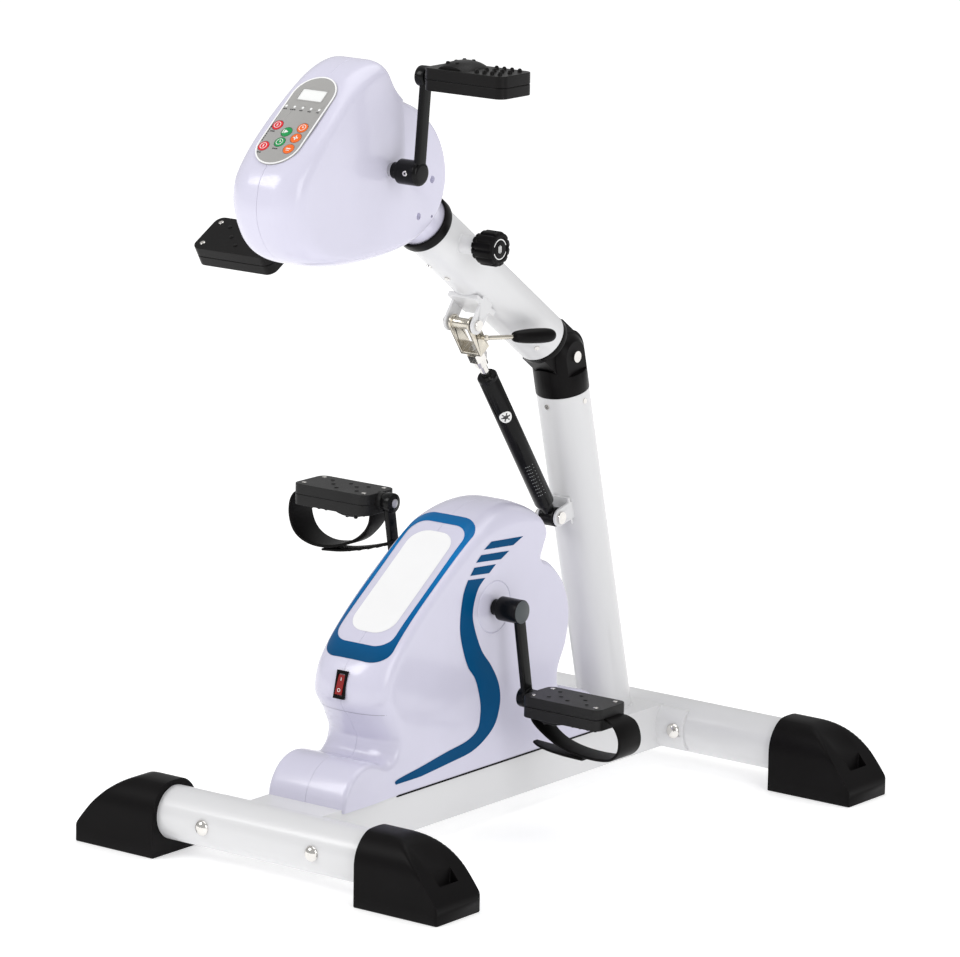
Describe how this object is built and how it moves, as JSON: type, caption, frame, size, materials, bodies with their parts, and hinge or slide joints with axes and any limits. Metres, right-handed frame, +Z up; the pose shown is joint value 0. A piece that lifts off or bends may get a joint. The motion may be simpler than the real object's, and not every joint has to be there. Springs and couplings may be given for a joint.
{
  "type": "pedal exerciser",
  "caption": "Floor-standing motor pedal exerciser with foot cranks in a low casing and a hand crank head on a folding arm held by a locking gas spring.",
  "frame": {"origin": "on the floor, midway between the two cross tubes and on the middle plane", "axes": "+Z up; the user sits at -Y and faces +Y; +X is the user's right"},
  "size_m": [0.643, 0.736, 0.8779],
  "materials": {
    "white_paint": "gloss powder coat",
    "casing": "gloss",
    "black_plastic": "satin",
    "pedal_grey": "fine grain",
    "pedal_black": "fine grain",
    "foot_rubber": "satin",
    "strap_rubber": "matt",
    "black_paint": "gloss",
    "bright_steel": "polished",
    "plain_steel": "machined",
    "nickel": "plated",
    "panel_grey": "printed film",
    "screen": "clear",
    "key_red": "satin",
    "key_green": "satin",
    "key_orange": "satin",
    "rocker_red": "gloss",
    "circuit_board": "satin",
    "motor_case": "satin",
    "belt_rubber": "matt"
  },
  "bodies": {
    "base": {"front_stabiliser": "white_paint", "rear_stabiliser": "white_paint", "base_rail": "white_paint", "front_left_foot": "foot_rubber", "front_right_foot": "foot_rubber", "rear_left_foot": "foot_rubber", "rear_right_foot": "foot_rubber", "stabiliser_bolts": "bright_steel", "mast_tube": "white_paint", "mast_cap": "black_plastic", "mast_bracket": "white_paint", "pivot_bolts": "bright_steel", "mast_screws": "bright_steel", "leg_left_shell": "casing", "leg_right_shell": "casing", "leg_chassis": "plain_steel", "leg_motor": "motor_case", "leg_belt": "belt_rubber", "leg_bearings": "plain_steel", "power_board": "circuit_board", "switch_bezel": "black_plastic"},
    "rocker": {"power_rocker": "rocker_red"},
    "motor_pulley": {"leg_motor_pulley": "plain_steel"},
    "foot_crank": {"foot_axle": "plain_steel", "foot_pulley": "belt_rubber", "left_foot_crank": "black_paint", "right_foot_crank": "black_paint"},
    "left_foot": {"left_foot_pedal": "pedal_grey", "left_foot_strap": "strap_rubber"},
    "right_foot": {"right_foot_pedal": "pedal_grey", "right_foot_strap": "strap_rubber"},
    "arm": {"arm_tube": "white_paint", "arm_cap": "black_plastic", "arm_bracket": "white_paint", "arm_collar": "black_plastic", "arm_fasteners": "bright_steel"},
    "knob": {"lock_knob": "black_plastic"},
    "cylinder": {"gas_cylinder": "black_paint"},
    "rod": {"gas_rod": "bright_steel", "release_head": "nickel"},
    "lever": {"release_lever": "bright_steel", "lever_grip": "black_plastic"},
    "head": {"head_left_shell": "casing", "head_right_shell": "casing", "head_tube": "plain_steel", "console_plate": "panel_grey", "display": "screen", "head_gearmotor": "motor_case"},
    "hand_crank": {"hand_axle": "plain_steel", "left_hand_crank": "black_paint", "right_hand_crank": "black_paint"},
    "left_hand": {"left_hand_pedal": "pedal_black"},
    "right_hand": {"right_hand_pedal": "pedal_black"},
    "red_upper": {"red_upper_key": "key_red"},
    "red_lower": {"red_lower_key": "key_red"},
    "green_upper": {"green_upper_key": "key_green"},
    "green_lower": {"green_lower_key": "key_green"},
    "orange_upper": {"orange_upper_key": "key_orange"},
    "orange_middle": {"orange_middle_key": "key_orange"},
    "orange_lower": {"orange_lower_key": "key_orange"}
  },
  "joints": [
    {"name": "arm_fold", "type": "hinge", "parent": "base", "child": "arm", "pos_m": [0, 0.16302, 0.49536], "axis": [1, 0, 0], "range_deg": [-40, 7]},
    {"name": "gas_cylinder_tilt", "type": "hinge", "parent": "base", "child": "cylinder", "pos_m": [0, 0.1556, 0.31051], "axis": [1, 0, 0], "range_deg": [-20, 4]},
    {"name": "gas_rod_tilt", "type": "hinge", "parent": "arm", "child": "rod", "pos_m": [0, -0.01211, 0.55498], "axis": [1, 0, 0], "range_deg": [-4, 20]},
    {"name": "release_lever_press", "type": "hinge", "parent": "rod", "child": "lever", "pos_m": [0, 0.00389, 0.53898], "axis": [1, 0, 0], "range_deg": [-10, 0], "stiffness_Nm_per_rad": 1, "springref_deg": 2.86},
    {"name": "head_telescope", "type": "slide", "parent": "arm", "child": "head", "axis": [0, -0.809, 0.5878], "range_m": [0, 0.08]},
    {"name": "lock_knob_turn", "type": "hinge", "parent": "arm", "child": "knob", "pos_m": [0, -0.05218, 0.65171], "axis": [1, 0, 0], "range_deg": [0, 360]},
    {"name": "foot_crank_spin", "type": "hinge", "parent": "base", "child": "foot_crank", "pos_m": [0, -0.014, 0.245], "axis": [1, 0, 0], "continuous": true},
    {"name": "left_foot_pedal_spin", "type": "hinge", "parent": "foot_crank", "child": "left_foot", "pos_m": [0, -0.02254, 0.34263], "axis": [1, 0, 0], "continuous": true},
    {"name": "right_foot_pedal_spin", "type": "hinge", "parent": "foot_crank", "child": "right_foot", "pos_m": [0, -0.00546, 0.14737], "axis": [1, 0, 0], "continuous": true},
    {"name": "motor_pulley_spin", "type": "hinge", "parent": "base", "child": "motor_pulley", "pos_m": [0, 0.05, 0.19], "axis": [1, 0, 0], "continuous": true},
    {"name": "hand_crank_spin", "type": "hinge", "parent": "head", "child": "hand_crank", "pos_m": [0, -0.202, 0.753], "axis": [1, 0, 0], "continuous": true},
    {"name": "left_hand_pedal_spin", "type": "hinge", "parent": "hand_crank", "child": "left_hand", "pos_m": [0, -0.20739, 0.65014], "axis": [1, 0, 0], "continuous": true},
    {"name": "right_hand_pedal_spin", "type": "hinge", "parent": "hand_crank", "child": "right_hand", "pos_m": [0, -0.19661, 0.85586], "axis": [1, 0, 0], "continuous": true},
    {"name": "power_switch", "type": "hinge", "parent": "base", "child": "rocker", "pos_m": [0, -0.217, 0.188], "axis": [1, 0, 0], "range_deg": [0, 8]},
    {"name": "red_upper_press", "type": "slide", "parent": "head", "child": "red_upper", "axis": [0, -0.6414, 0.7672], "range_m": [-0.0006, 0], "stiffness_N_per_m": 600},
    {"name": "red_lower_press", "type": "slide", "parent": "head", "child": "red_lower", "axis": [0, -0.6414, 0.7672], "range_m": [-0.0006, 0], "stiffness_N_per_m": 600},
    {"name": "green_upper_press", "type": "slide", "parent": "head", "child": "green_upper", "axis": [0, -0.6414, 0.7672], "range_m": [-0.0006, 0], "stiffness_N_per_m": 600},
    {"name": "green_lower_press", "type": "slide", "parent": "head", "child": "green_lower", "axis": [0, -0.6414, 0.7672], "range_m": [-0.0006, 0], "stiffness_N_per_m": 600},
    {"name": "orange_upper_press", "type": "slide", "parent": "head", "child": "orange_upper", "axis": [0, -0.6414, 0.7672], "range_m": [-0.0006, 0], "stiffness_N_per_m": 600},
    {"name": "orange_middle_press", "type": "slide", "parent": "head", "child": "orange_middle", "axis": [0, -0.6414, 0.7672], "range_m": [-0.0006, 0], "stiffness_N_per_m": 600},
    {"name": "orange_lower_press", "type": "slide", "parent": "head", "child": "orange_lower", "axis": [0, -0.6414, 0.7672], "range_m": [-0.0006, 0], "stiffness_N_per_m": 600}
  ],
  "couplings": [
    {"joint": "gas_cylinder_tilt", "follows": "arm_fold", "ratio": 0.5},
    {"joint": "gas_rod_tilt", "follows": "arm_fold", "ratio": -0.5},
    {"joint": "motor_pulley_spin", "follows": "foot_crank_spin", "ratio": 4}
  ]
}
